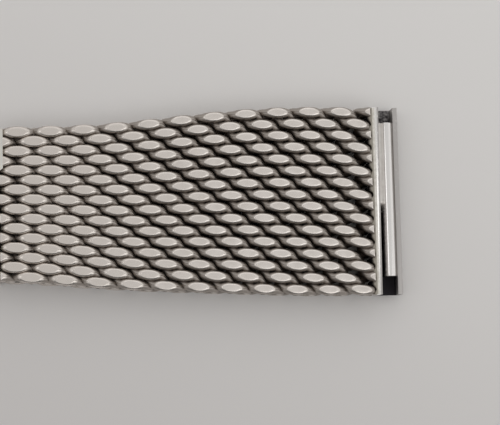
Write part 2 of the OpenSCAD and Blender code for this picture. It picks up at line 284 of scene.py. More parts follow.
over_the_top = np.arange(-60, 61, 5)
down_the_side = np.arange(70, 91, 10)
turned = np.radians(np.concatenate([-down_the_side[::-1], over_the_top, down_the_side]))
run_x = REACH * np.sign(turned) * np.abs(np.sin(turned)) ** (2 / FULLNESS)
run_z = BEND_R * np.cos(turned).clip(0) ** (2 / FULLNESS)
steep = np.abs(np.sin(turned)) ** (2 - 2 / FULLNESS) / REACH
level = np.cos(turned).clip(0) ** (2 - 2 / FULLNESS) / BEND_R
run_angle = np.sign(turned) * np.arctan2(steep, level)


def between(at_lug, at_clasp, near_clasp):
    """A measure that changes evenly from its value at the lug to its value at the clasp."""
    return at_lug + (at_clasp - at_lug) * near_clasp


def drift(q, near_clasp, u):
    """Share of a row that the wire has moved across the strap, from q = -1 at its left end to 1.

    Over the top it leans a little, and the rest comes where it dives beside its neighbour. It
    leans most beside the lug wall, where the cut ends of the wires were pulled askew.
    """
    lean = between(LEAN_AT_LUG, LEAN_AT_CLASP, near_clasp) + LEAN_AT_WALL * np.exp(-(u / WALL_REACH) ** 2)
    start = between(DIVE_AT_LUG[0], DIVE_AT_CLASP[0], near_clasp)
    end = between(DIVE_AT_LUG[1], DIVE_AT_CLASP[1], near_clasp)
    dive = np.sign(q) * smooth((np.abs(q) - start) / (end - start))
    return 0.5 * (lean * q + (1 - lean) * dive)


def soft_min(a, b, width):
    """The smaller of a and b, rounded over where they meet."""
    return 0.5 * (a + b - np.sqrt((a - b) ** 2 + width ** 2))


print(f"wire {2 * WIRE_R:.2f} thick, bent to {BEND_R:.2f}, {len(run_x)} rings in each half turn")

# %% Carry the ring of the wire along its path
PINCH_FADE = 0.42
SIDE_SPARE, SIDE_ROUND = 0.15, 0.08


def ring_angles(edge):
    """Angles of a ring's points. Three on each side follow the facet's edge, at the angle edge."""
    low = np.maximum(edge - EDGE_SPREAD, 0.3 * edge)
    high = edge + EDGE_SPREAD
    side = [low / 2, low, (low + high) / 2, high]
    side += [high + (np.pi - high) * i / 6 for i in range(1, 6)]
    side = np.stack(side, axis=-1)
    top = np.zeros_like(edge)[..., None]
    return np.concatenate([top, side, top + np.pi, -side[..., ::-1]], axis=-1)


def sweep_wire(path, outward, facing_z, squeeze, half, rounded):
    """Points of a wire along path, pressed flat at both faces and trimmed at the strap's sides.

    Each ring stands square to the path. Its height is the smaller of the round wire's and of what
    is left to the pressed face. Its width is scaled by squeeze, and all of it by rounded, which is
    1 but for the first and last rings.
    """
    along = np.gradient(path, axis=0)
    along /= np.linalg.norm(along, axis=1, keepdims=True)
    up = outward - along * np.sum(outward * along, axis=1, keepdims=True)
    up /= np.linalg.norm(up, axis=1, keepdims=True)
    side = np.cross(along, up)
    tilt = np.maximum(np.abs(facing_z), 1e-3)
    room = (HALF_T + FACET_ROUND / 2 - CROWN_ALONG * (1 - tilt) - np.abs(path[:, 2] - MID_Z)) / tilt
    edge = np.arccos(np.clip(room / WIRE_R, -1, 1))
    angle = ring_angles(edge)
    ceiling = room[:, None] - CROWN_ACROSS * np.sin(angle) ** 2
    high = soft_min(WIRE_R * np.cos(angle), ceiling, FACET_ROUND)
    pinch = between(PINCH_AT_LUG, PINCH_AT_CLASP, half.near_clasp(path[:, 0]))
    belly = BELLY - pinch * (1 - tilt) * np.exp(-(1 - tilt) / PINCH_FADE)
    wide = WIRE_R * (belly * squeeze)[:, None] * np.sin(angle)
    high *= rounded[:, None]
    wide *= rounded[:, None]
    points = path[:, None] + high[..., None] * up[:, None] + wide[..., None] * side[:, None]
    middle = half.sway(points[..., 0])
    limit = half.width(points[..., 0]) / 2 + SIDE_SPARE * half.near_clasp(points[..., 0])
    aside = points[..., 1] - middle
    points[..., 1] = middle + np.sign(aside) * soft_min(np.abs(aside), limit, SIDE_ROUND)
    return points


# %% [markdown]
# ## One coil
# A coil has sixteen half turns, which lie on top and underneath by turns. Its wire starts and ends
# at the sides of the strap, and there it drifts less, so that the sides stay straight. The first
# and the last coil are cut by the walls that they are soldered to, which leaves separate hooks.

# %% Build coils
CUT_PULLED = 0.32
EDGE_DRIFT = 0.3
END_ROUND = 0.09
CAP_SIZES = np.array([0.3, 0.72, 0.93])
CAP_PLACES = np.array([0.45, 0.28, 0.1]) * WIRE_R
CAP_LENGTH = 0.55
BEYOND_CUT = 0.3
SHORTEST = 6


def coil_path(half, number):
    """Centre line of one coil as points of (u, across, up), and its outward directions.

    Each row holds one half turn. It goes over the top in every second row, and underneath in the
    others, which is the same curve turned over.
    """
    rows = np.arange(ROWS)[:, None]
    on_top = np.where((rows + number) % 2 == 0, 1.0, -1.0)
    q = run_x[None, :] / REACH
    local_x = on_top * run_x[None, :]
    local_z = on_top * run_z[None, :]
    pulled = {0: -CUT_PULLED, half.last: CUT_PULLED}.get(number, 0)
    u = COIL_STEP * number + FIRST_COIL + pulled - local_x
    u = u + half.slip(u, rows)
    near_clasp = half.near_clasp(u)
    moved = drift(q, near_clasp, u)
    moved[0, q[0] < 0] *= EDGE_DRIFT
    moved[-1, q[0] > 0] *= EDGE_DRIFT
    across = ((ROWS - 1) / 2 - rows - moved) * half.row_step(u) + half.sway(u)
    path = np.stack([u, across, MID_Z + local_z * (1 + WORN / BEND_R * near_clasp)], axis=-1)
    forward = -on_top * np.sin(run_angle)[None]
    upward = on_top * np.cos(run_angle)[None]
    return path, np.stack([forward, 0 * u, upward], axis=-1)


def wire_piece(half, path, outward, cut_from, cut_to):
    """Sweeps one stretch of wire and closes its ends: with a small round, or flat where it is cut.

    Three rings that grow from a point to the full wire are added at each end for the round.
    """
    squeeze = (half.row_step(path[:, 0]) / half.row_step(0)) ** TIGHTER
    along = np.gradient(path, axis=0)
    along /= np.linalg.norm(along, axis=1, keepdims=True)
    head = path[:1] - along[:1] * (WIRE_R * CAP_LENGTH - CAP_PLACES[:, None])
    tail = path[-1:] + along[-1:] * (WIRE_R * CAP_LENGTH - CAP_PLACES[::-1, None])
    caps = len(CAP_SIZES)
    rounded = np.concatenate([CAP_SIZES, np.ones(len(path)), CAP_SIZES[::-1]])
    path = np.concatenate([head, path, tail])
    outward = np.concatenate([outward[:1].repeat(caps, 0), outward, outward[-1:].repeat(caps, 0)])
    squeeze = np.concatenate([squeeze[:1].repeat(caps), squeeze, squeeze[-1:].repeat(caps)])
    points = sweep_wire(path, outward, outward[:, 2], squeeze, half, rounded)
    points[..., 0] = soft_min(-soft_min(-points[..., 0], -cut_from, END_ROUND), cut_to, END_ROUND)
    rings, sides = points.shape[:2]
    centres = np.stack([points[0].mean(0), points[-1].mean(0)])
    flat = np.concatenate([points.reshape(-1, 3), centres])
    return flat, grid_quads(rings, sides), end_fans(rings, sides)


def coil_stretches(half, number, cut_from, cut_to):
    """A coil as stretches of wire. Only the wire between cut_from and cut_to along u is kept."""
    path, outward = coil_path(half, number)
    path = path.reshape(-1, 3)
    outward = outward.reshape(-1, 3)
    kept = (path[:, 0] > cut_from - BEYOND_CUT) & (path[:, 0] < cut_to + BEYOND_CUT)
    breaks = np.flatnonzero(np.diff(np.concatenate([[0], kept.astype(int), [0]])))
    for first, after in zip(breaks[::2], breaks[1::2]):
        if after - first > SHORTEST:
            yield wire_piece(half, path[first:after], outward[first:after], cut_from, cut_to)


def coil_group(half, name, numbers, body, node, cut_from=-9e9, cut_to=9e9):
    """One mesh object that holds the coils with the given numbers."""
    points, quads, triangles, count = [], [], [], 0
    for number in numbers:
        for p, q, t in coil_stretches(half, number, cut_from, cut_to):
            points.append(p)
            quads.append(q + count)
            triangles.append(t + count)
            count += len(p)
    points = np.concatenate(points)
    obj = make_object(name, half.place(points), np.concatenate(quads), np.concatenate(triangles))
    note_values(obj, "from_side", half.from_side(points))
    return finish_piece(obj, body, "mesh_wire", node)


# %% Weave both halves
CUT_AT = 0.12
UNDER_PLATE = 0.7
wires = []
for half in (SHORT, LONG):
    name = f"{half.name}_lug_turns"
    wires.append(coil_group(half, name + "_wire", (0, 1), f"{half.name}_lug_end", name, cut_from=CUT_AT))
    for pair in range(1, half.pairs + 1):
        name = f"{half.name}_mesh_{pair}"
        body = f"{half.name}_link_{pair}"
        wires.append(coil_group(half, name + "_wire", (2 * pair, 2 * pair + 1), body, name))
    name = f"{half.name}_clasp_turns"
    numbers = (half.last - 1, half.last)
    body = f"{half.name}_clasp_end"
    wires.append(coil_group(half, name + "_wire", numbers, body, name, cut_to=half.length + UNDER_PLATE))
total = sum(len(w.data.polygons) for w in wires)
print(f"{len(wires)} pieces of wire with {total} faces")

# %% [markdown]
# ## Solid pieces from profiles
# The fittings are bent, turned or cast, so they are swept from rounded profiles or turned round an
# axis. A corner of a profile is rounded by a short curve, and whatever is still sharp afterwards,
# such as a cut end, gets a narrow bevel that catches the light.

# %% Helpers for solid pieces
SHARP_FROM = np.radians(40)
MERGED_BELOW = 0.001


def rounded_loop(corners, cuts, steps=4):
    """A closed profile whose corners are cut back by the given lengths and rounded between."""
    corners = np.array(corners, float)
    out = []
    for i, (corner, cut) in enumerate(zip(corners, cuts)):
        before = corners[i - 1] - corner
        after = corners[(i + 1) % len(corners)] - corner
        a = corner + before / np.linalg.norm(before) * cut
        b = corner + after / np.linalg.norm(after) * cut
        for t in np.linspace(0, 1, steps + 1):
            out.append((1 - t) ** 2 * a + 2 * t * (1 - t) * corner + t * t * b)
    return np.array(out)


def soften(obj, bevel=0.0):
    """Merges loose corners, turns all faces outwards and bevels the sharp edges, in millimetres."""
    work = bmesh.new()
    work.from_mesh(obj.data)
    bmesh.ops.remove_doubles(work, verts=work.verts, dist=MERGED_BELOW * MM)
    bmesh.ops.recalc_face_normals(work, faces=work.faces)
    if bevel:
        bmesh.ops.dissolve_limit(work, angle_limit=np.radians(1), verts=work.verts, edges=work.edges)
        sharp = [e for e in work.edges if e.is_manifold and e.calc_face_angle(0) > SHARP_FROM]
        bmesh.ops.bevel(work, geom=sharp, offset=bevel * MM, segments=2, profile=0.6, affect="EDGES",
                        clamp_overlap=True)
    work.to_mesh(obj.data)
    work.free()
    obj.data.polygons.foreach_set("use_smooth", np.ones(len(obj.data.polygons), dtype=bool))
    obj.data.set_sharp_from_angle(angle=SHARP_FROM)
    obj.data.update()
    return obj


def solid_from_sections(name, half, sections, bevel=0.0):
    """A closed solid through sections, an array of (section, point) -> (u, across, up)."""
    rows, columns = sections.shape[:2]
    ring = np.arange(columns)
    caps = np.stack([ring[::-1], (rows - 1) * columns + ring])
    obj = make_object(name, half.place(sections).reshape(-1, 3), grid_quads(rows, columns), caps)
    return soften(obj, bevel)


def solid_of_turning(name, half, loop, centre, sides):
    """A ring-shaped solid: a closed loop of (across, radius) turned round an axis across the strap."""
    a = np.linspace(0, 2 * np.pi, sides + 1)[:, None]
    loop = np.array(loop)
    along = centre[0] + loop[:, 1] * np.sin(a)
    across = centre[1] + loop[None, :, 0] + 0 * a
    up = centre[2] + loop[:, 1] * np.cos(a)
    points = half.place(np.stack([along, across, up], axis=-1)).reshape(-1, 3)
    return soften(make_object(name, points, grid_quads(sides + 1, len(loop))))


def ripple(y, seed):
    """A smooth uneven line from -1 to 1: what is left of the hand that laid the solder."""
    waves = [(2.3, 0.5), (4.1, 0.3), (9.7, 0.2)]
    return sum(share * np.sin(rate * y + seed * (3 + i)) for i, (rate, share) in enumerate(waves))


def note_depth(obj, rule):
    """Stores how deep each point lies below the worn faces. The rule gets points in (u, across, up)."""
    points = read_points(obj)
    sign = np.sign(points[:, :1].mean())
    points[:, 0] = WALL_X - sign * points[:, 0]
    points[:, 1] *= sign
    note_values(obj, "depth", rule(points))


# %% [markdown]
# ## The lug ends
# A channel folded from sheet is soldered to the cut mesh, and a tube for the spring bar is brazed
# into it. The solder creeps in between the wires, so its edge is scalloped, and the top of the wall
# is filed to a bevel afterwards. The braze fills the gap beside the tube only for a good half of its
# length, which leaves a dark slit. In these profiles the first number is the distance outwards from
# the wall's face at the mesh.

# %% Sizes of the lug end
TUBE_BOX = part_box("short_bar_tube")
CHANNEL_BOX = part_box("short_end_channel")
TUBE_OUT = (TUBE_BOX[0].x + TUBE_BOX[1].x) / 2 / MM - WALL_X
TUBE_Z = (TUBE_BOX[0].z + TUBE_BOX[1].z) / 2 / MM
TUBE_R = (TUBE_BOX[1].z - TUBE_BOX[0].z) / 2 / MM
TUBE_FROM, TUBE_TO = TUBE_BOX[0].y / MM, TUBE_BOX[1].y / MM
BORE_R = TUBE_R - 0.1
CHANNEL_END = CHANNEL_BOX[1].y / MM
CHANNEL_LOW, WALL_TOP = CHANNEL_BOX[0].z / MM, CHANNEL_BOX[1].z / MM
CHANNEL_W = CHANNEL_BOX[1].x / MM - WALL_X
FLOOR_Z = CHANNEL_LOW + 0.36
LIP_TOP = 2.65
INNER_T, OUTER_T = 0.76, 0.52
WALL_FACE = 0.02
FILED_FROM, FILED_TO, FILED_DROP = 0.44, 0.7, 0.14
WALL_THINS = 0.08
BRAZED_SHARE = 0.58
BRAZED_TO = TUBE_TO - BRAZED_SHARE * (TUBE_TO - TUBE_FROM)
CREEP_LEAST, CREEP_MORE = 0.06, 0.32
DEEP = 2.0


def sections_along(profile, stations):
    """Repeats a profile of (outwards, up) at stations across the strap."""
    profile = np.array(profile)
    shape = (len(stations), len(profile))
    return np.stack([np.broadcast_to(-profile[:, 0], shape),
                     np.broadcast_to(np.asarray(stations)[:, None], shape),
                     np.broadcast_to(profile[:, 1], shape)], axis=-1).copy()


def channel_depth(p):
    """Clean on the wall and the lip's outer face, and darker inside, partly soiling and partly painted
    shade, most at the near end, where the painted shade is deepest.
    """
    inside = np.where(p[:, 0] > -0.5, 0, (LIP_TOP - 0.05 - p[:, 2]).clip(0.35))
    # painted shade: the near end of the channel is made darker than the far end
    nearer = np.where(p[:, 1] > 0, 0.7, 1.1)
    return inside * nearer * (p[:, 0] > WALL_FACE - CHANNEL_W)


def end_channel(half):
    """The folded channel: thick bevelled wall at the mesh, floor, and a lower lip with a round top."""
    inside = CHANNEL_W - OUTER_T
    corners = [(WALL_FACE, CHANNEL_LOW), (WALL_FACE, WALL_TOP - FILED_DROP - 0.01),
               (FILED_FROM, WALL_TOP - FILED_DROP), (FILED_TO, WALL_TOP - 0.005),
               (INNER_T, WALL_TOP - 0.05), (INNER_T, FLOOR_Z), (inside, FLOOR_Z), (inside, LIP_TOP),
               (CHANNEL_W, LIP_TOP), (CHANNEL_W, CHANNEL_LOW)]
    profile = rounded_loop(corners, [0.1, 0.02, 0.02, 0.02, 0.03, 0.25, 0.2, 0.06, 0.12, 0.4])
    stations = np.linspace(-CHANNEL_END, CHANNEL_END, 60)
    sections = sections_along(profile, stations)
    lip = smooth((profile[:, 0] - 2) / 0.6) * smooth((profile[:, 1] - 1) / 1.6)
    sections[..., 0] -= 0.03 * ripple(stations * 0.14, 1)[:, None] * lip
    thinner = (profile[:, 0] > 0.3) & (profile[:, 0] < 1) & (profile[:, 1] > FLOOR_Z + 0.1)
    sections[..., 0] += (WALL_THINS - WALL_THINS * stations / CHANNEL_END)[:, None] * thinner
    obj = solid_from_sections(f"{half.name}_channel_folded", half, sections, 0.035)
    note_depth(obj, channel_depth)
    return finish_piece(obj, f"{half.name}_lug_end", "end_fitting", f"{half.name}_end_channel")


def tube_depth(p):
    """Deep in the bore, and otherwise as deep as the point lies below the tube's middle. This depth paints
    shade into the bore and the tube's lower half.
    """
    from_axis = np.hypot(p[:, 0] + TUBE_OUT, p[:, 2] - TUBE_Z)
    return np.where(from_axis < BORE_R + 0.02, DEEP, (TUBE_Z - 0.1 - p[:, 2]).clip(0))


def bar_tube(half):
    """The tube of the spring bar, with rounded lips and an open bore."""
    long = (TUBE_TO - TUBE_FROM) / 2
    loop = rounded_loop([(-long, TUBE_R), (long, TUBE_R), (long, BORE_R), (-long, BORE_R)],
                        [0.085, 0.085, 0.01, 0.01], 5)
    centre = (-TUBE_OUT, (TUBE_TO + TUBE_FROM) / 2, TUBE_Z)
    obj = solid_of_turning(f"{half.name}_tube_turned", half, loop, centre, 64)
    note_depth(obj, tube_depth)
    return finish_piece(obj, f"{half.name}_lug_end", "polished_tube", f"{half.name}_bar_tube")


def on_tube(degrees, radius):
    """A point of the profile at an angle from straight up, round the tube's axis."""
    a = np.radians(degrees)
    return TUBE_OUT + radius * np.sin(a), TUBE_Z + radius * np.cos(a)


def tube_braze(half):
    """The seat under the whole tube, and the fillet beside it that ends half way along."""
    inside = TUBE_R - 0.05
    seat = [(1.0, FLOOR_Z - 0.03), (2.4, FLOOR_Z - 0.03), (2.4, 1.15)]
    seat += [on_tube(a, inside) for a in (120, 150, 180, 210, 240)] + [(1.02, 1.25)]
    stations = np.linspace(TUBE_FROM + 0.05, TUBE_TO - 0.05, 40)
    under = solid_from_sections(f"{half.name}_braze_seat", half, sections_along(seat, stations))
    # painted shade: the whole seat under the tube gets the deepest depth, so it is dark
    note_depth(under, lambda p: DEEP)
    fillet = [(0.53, 3.02), (0.68, 2.97), (0.8, 2.84), (0.93, 2.7), (1.06, 2.56), (1.14, 2.45)]
    fillet += [on_tube(a, inside) for a in (-55, -75, -95, -115)] + [(0.53, 1.5)]
    stations = np.linspace(BRAZED_TO, TUBE_TO - 0.06, 90)
    sections = sections_along(fillet, stations)
    full = smooth((stations - BRAZED_TO) / 1.1)[:, None]
    uneven = 0.035 * ripple(stations * 0.6, 2)[:, None] * (sections[..., 2] > 2.4)
    sections[..., 2] = 1.5 + (sections[..., 2] - 1.5) * (0.05 + 0.95 * full) + uneven
    beside = solid_from_sections(f"{half.name}_braze_fillet", half, sections)
    # painted shade: the fillet darkens towards its foot
    note_depth(beside, lambda p: (2.3 - p[:, 2]).clip(0))
    body = f"{half.name}_lug_end"
    node = f"{half.name}_tube_braze"
    return [finish_piece(under, body, "braze", node), finish_piece(beside, body, "braze", node)]


def solder_depth(p):
    """How far a point lies below the worn faces, and more where the solder creeps to the wires. Both darken
    the solder: partly soiling, and partly painted shade in the crevice at the wires.
    """
    below = (HALF_T - np.abs(p[:, 2] - MID_Z) - 0.25).clip(0)
    return below + (1.5 * p[:, 0] + 0.3).clip(0)


def mesh_solder(half):
    """The solder between the wall and the cut wires, whose edge is a squared sine over the rows."""
    stations = np.linspace(-CHANNEL_END + 0.06, CHANNEL_END - 0.06, 420)
    row = (ROWS - 1) / 2 - stations / half.row_step(0)
    edge = CREEP_LEAST + CREEP_MORE * np.sin(np.pi * row) ** 2 + 0.05 * ripple(stations * 1.7, 3)
    lump = 0.02 * ripple(stations * 2.6, 4)
    profile = [(-0.4, 3.05), (-0.36, 3.15), (-0.3, 3.175), (-0.18, 3.195), (-0.04, 3.195), (0.5, 3.16),
               (1.0, 3.05), (1.35, 2.8), (1.5, 2.3), (1.5, 1.1), (1.35, 0.62), (1.0, 0.34), (0.5, 0.2),
               (-0.04, 0.2), (-0.08, 0.6)]
    profile = np.array(profile)
    sections = np.zeros((len(stations), len(profile), 3))
    out = profile[:, 0]
    sections[..., 0] = np.where(out < 0, out, out * edge[:, None])
    sections[..., 1] = stations[:, None]
    sections[..., 2] = profile[:, 1] + lump[:, None] * (out > -0.3) * np.sign(profile[:, 1] - MID_Z)
    obj = solid_from_sections(f"{half.name}_mesh_solder", half, sections)
    note_depth(obj, solder_depth)
    return finish_piece(obj, f"{half.name}_lug_end", "braze", f"{half.name}_lug_turns")


# %% Build both lug ends
channels = [end_channel(half) for half in (SHORT, LONG)]
tubes = [bar_tube(half) for half in (SHORT, LONG)]
brazes = [piece for half in (SHORT, LONG) for piece in tube_braze(half)]
solders = [mesh_solder(half) for half in (SHORT, LONG)]
print(f"lug ends have {sum(len(o.data.polygons) for o in channels + tubes + brazes + solders)} faces")

# %% [markdown]
# ## The clasp
# The clasp isn't in the picture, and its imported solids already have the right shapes: a folded
# cover, two stamped blades, turned pins and a stud. Only their edges are too sharp to be real. Each
# gets a copy with narrow bevels, which takes its place. The hinge plate at the short mesh shows its
# edge in the picture, where it lies askew with a small step, so its copy is set back along that line.

# %% Soften the pieces of the clasp
NODES_OF = frame["record"]["behaviour"]["bodies"]
BODY_OF = {node: body for body, group in NODES_OF.items() for node in group}
SLOT_OF = {"blade": ("clasp_upper_blade", "clasp_lower_blade"), "brushed_cover": ("clasp_cover",),
           "pin": ("mesh_hinge_pin", "middle_hinge_pin", "fold_hinge_pin", "bar_barrel", "bar_tip_front",
                   "bar_tip_back", "catch_stud"),
           "spring_steel": ("catch_clip", "bar_spring"),
           "end_fitting": ("short_hinge_plate", "long_bar_fitting")}
EDGE = {"blade": 0.06, "brushed_cover": 0.12, "pin": 0.07, "spring_steel": 0.04, "end_fitting": 0.07}
HIDDEN_IN_CLASP = 0.3
STEP_Y, STEP_BACK, LEAN_BACK = 3.6, 0.36, 0.028
PLATE_WALL, NOTCH_DEEP, NOTCH_HALF = 0.6, 0.3, 0.17


def set_back(obj):
    """Moves the face of the hinge plate at the mesh to the line that the picture shows."""
    work = bmesh.new()
    work.from_mesh(obj.data)
    for offset in (-0.22, -0.12, 0.12, 0.22):
        everything = work.verts[:] + work.edges[:] + work.faces[:]
        place = (0, (STEP_Y + offset) * MM, 0)
        bmesh.ops.bisect_plane(work, geom=everything, plane_co=place, plane_no=(0, 1, 0))
    work.to_mesh(obj.data)
    work.free()
    points = read_points(obj)
    face = points[:, 0] > points[:, 0].max() - 0.05
    wall = points[:, 0] > points[:, 0].max() - PLATE_WALL
    points[wall & (points[:, 2] > MID_Z + 1), 2] = MID_Z + HALF_T + 0.02
    points[wall & (points[:, 2] < MID_Z - 1), 2] = MID_Z - HALF_T - 0.01
    points[wall, 1] *= WIDTH_AT_CLASP / 2 / np.abs(points[wall, 1]).max()
    y = points[wall, 1]
    points[wall, 0] -= np.where(y > STEP_Y, STEP_BACK, STEP_BACK + 0.1 + LEAN_BACK * (STEP_Y - y))
    points[face & (np.abs(points[:, 1] - STEP_Y) < NOTCH_HALF), 0] -= NOTCH_DEEP
    obj.data.vertices.foreach_set("co", (points * MM).astype(np.float32).ravel())


def edged_copy(node, slot):
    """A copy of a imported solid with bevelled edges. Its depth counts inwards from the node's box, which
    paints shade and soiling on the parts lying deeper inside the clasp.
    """
    obj = bpy.data.objects.new(f"{node}_edged", nodes[node].data.copy())
    scene.collection.objects.link(obj)
    obj.data.materials.clear()
    if node == "short_hinge_plate":
        set_back(obj)
    soften(obj, EDGE[slot])
    low, high = (np.array(corner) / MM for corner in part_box(node))
    points = read_points(obj)
    inwards = np.minimum(points - low, high - points)[:, 1:].min(axis=1)
    note_values(obj, "depth", HIDDEN_IN_CLASP * inwards.clip(0))
    return finish_piece(obj, BODY_OF[node], slot, node)


clasp = {slot: [edged_copy(node, slot) for node in group] for slot, group in SLOT_OF.items()}
print(f"the clasp has {sum(len(group) for group in clasp.values())} softened pieces")

# %% [markdown]
# ## Materials
# Steel that is worn on the wrist stays bright where skin and sleeve rub it, and goes brown and dull in its
# hollows. Dirt could be painted on each piece, but on a mesh it simply follows depth: the further a point
# lies below the two worn faces, the darker it is. That darkening is partly real soiling and partly painted
# shade, which stands in for the shade that falls in the hollows and between the wires. So one node group
# turns a depth into a mask, breaks its edge up with noise, and gives colour and roughness. For the wire the
# depth comes from the height of the point, and for the fittings it was stored with their points.

# %% Node helpers and the shared groups


def new_group(name, inputs, outputs):
    """Makes an empty shader node group and returns it with its input and output nodes."""
    group = bpy.data.node_groups.new(name, "ShaderNodeTree")
    for label, kind, value in inputs:
        socket = group.interface.new_socket(label, in_out="INPUT", socket_type=kind)
        if value is not None:
            socket.default_value = value
    for label, kind in outputs:
        group.interface.new_socket(label, in_out="OUTPUT", socket_type=kind)
    entry = group.nodes.new("NodeGroupInput")
    leave = group.nodes.new("NodeGroupOutput")
    return group, entry, leave


def math_node(tree, operation, a, b=None):
    """A Math node whose inputs are sockets or numbers. Returns its output."""
    node = tree.nodes.new("ShaderNodeMath")
    node.operation = operation
    for socket, value in zip(node.inputs, (a, b)):
        if isinstance(value, bpy.types.NodeSocket):
            tree.links.new(value, socket)
        elif value is not None:
            socket.default_value = value
    return node.outputs[0]


def ramp(tree, value, low, high, to_low=0.0, to_high=1.0):
    """A smooth Map Range from low..high to to_low..to_high. Bounds are sockets or numbers."""
    node = tree.nodes.new("ShaderNodeMapRange")
    node.interpolation_type = "SMOOTHSTEP"
    for label, v in (("Value", value), ("From Min", low), ("From Max", high),
                     ("To Min", to_low), ("To Max", to_high)):
        if isinstance(v, bpy.types.NodeSocket):
            tree.links.new(v, node.inputs[label])
        else:
            node.inputs[label].default_value = v
    return node.outputs["Result"]


def noise(tree, vector, scale, detail=3.0, stretch=None):
    """A Noise texture on a vector, which stretch scales along X, Y and Z first."""
    if stretch is not None:
        mapping = tree.nodes.new("ShaderNodeMapping")
        mapping.inputs["Scale"].default_value = stretch
        tree.links.new(vector, mapping.inputs["Vector"])
        vector = mapping.outputs["Vector"]
    node = tree.nodes.new("ShaderNodeTexNoise")
    node.inputs["Scale"].default_value = scale
    node.inputs["Detail"].default_value = detail
    tree.links.new(vector, node.inputs["Vector"])
    return node.outputs["Fac"]


def mix_colour(tree, factor, a, b):
    """Mixes colour a into colour b by factor. Each is a socket or a colour."""
    node = tree.nodes.new("ShaderNodeMix")
    node.data_type = "RGBA"
    for socket, value in ((node.inputs[0], factor), (node.inputs[6], a), (node.inputs[7], b)):
        if isinstance(value, bpy.types.NodeSocket):
            tree.links.new(value, socket)
        else:
            socket.default_value = value
    return node.outputs[2]


FLOAT, VECTOR, COLOUR = "NodeSocketFloat", "NodeSocketVector", "NodeSocketColor"

# %% The depth group: clean at the two faces, darker inside with soiling and painted shade


def dirt_and_shade_group():
    """Polished metal where the strap is rubbed, dull metal just below, and a dark colour in the hollows
    that is partly soiling and partly painted shade.
    """
    group, entry, leave = new_group("depth_dirt_and_shade", [
        ("Vector", VECTOR, None), ("Depth", FLOAT, 0.0), ("Polish Ends", FLOAT, 1.0),
        ("Polish Fade", FLOAT, 0.0001), ("Grime Starts", FLOAT, 0.0004), ("Grime Full", FLOAT, 0.0011),
        ("Broken", FLOAT, 0.0001), ("Polished", COLOUR, (0.8, 0.8, 0.8, 1)),
        ("Dull", COLOUR, (0.3, 0.3, 0.3, 1)), ("Grime", COLOUR, (0.03, 0.02, 0.015, 1)),
        ("Polished Roughness", FLOAT, 0.25), ("Dull Roughness", FLOAT, 0.45),
        ("Grime Roughness", FLOAT, 0.65)],
        [("Color", COLOUR), ("Roughness", FLOAT)])
    given = entry.outputs
    patch = math_node(group, "SUBTRACT", noise(group, given["Vector"], 3500, 4), 0.5)
    patch = math_node(group, "MULTIPLY", patch, given["Broken"])
    patch = math_node(group, "MULTIPLY", patch, ramp(group, given["Depth"], 0.0, 0.0008))
    depth = math_node(group, "ADD", given["Depth"], patch)
    ends = math_node(group, "ADD", given["Polish Ends"], given["Polish Fade"])
    dull = ramp(group, depth, given["Polish Ends"], ends)
    dirt_and_shade_mask = ramp(group, depth, given["Grime Starts"], given["Grime Full"])
    colour = mix_colour(group, dull, given["Polished"], given["Dull"])
    group.links.new(mix_colour(group, dirt_and_shade_mask, colour, given["Grime"]), leave.inputs["Color"])
    rough = ramp(group, dull, 0.0, 1.0, given["Polished Roughness"], given["Dull Roughness"])
    rough = ramp(group, dirt_and_shade_mask, 0.0, 1.0, rough, given["Grime Roughness"])
    group.links.new(rough, leave.inputs["Roughness"])
    return group


DIRT_AND_SHADE = dirt_and_shade_group()


def place_group(tree, group, vector, **values):
    """Puts a group into a material's tree, feeds it the vector and sets its named inputs."""
    node = tree.nodes.new("ShaderNodeGroup")
    node.node_tree = group
    tree.links.new(vector, node.inputs["Vector"])
    for label, value in values.items():
        node.inputs[label.replace("_", " ")].default_value = value
    return node


def new_surface(name, metallic):
    """A new material. Returns it with its tree, its shader and its Object coordinates."""
    material = bpy.data.materials.new(name)
    material.use_nodes = True
    tree = material.node_tree
    shader = tree.nodes["Principled BSDF"]
    shader.inputs["Metallic"].default_value = metallic
    coordinates = tree.nodes.new("ShaderNodeTexCoord").outputs["Object"]
    return material, tree, shader, coordinates


def add_bump(tree, shader, height, distance):
    """Feeds a height into the shader's Normal through a Bump node."""
    bump = tree.nodes.new("ShaderNodeBump")
    bump.inputs["Distance"].default_value = distance
    tree.links.new(height, bump.inputs["Height"])
    tree.links.new(bump.outputs["Normal"], shader.inputs["Normal"])


# %% Wire


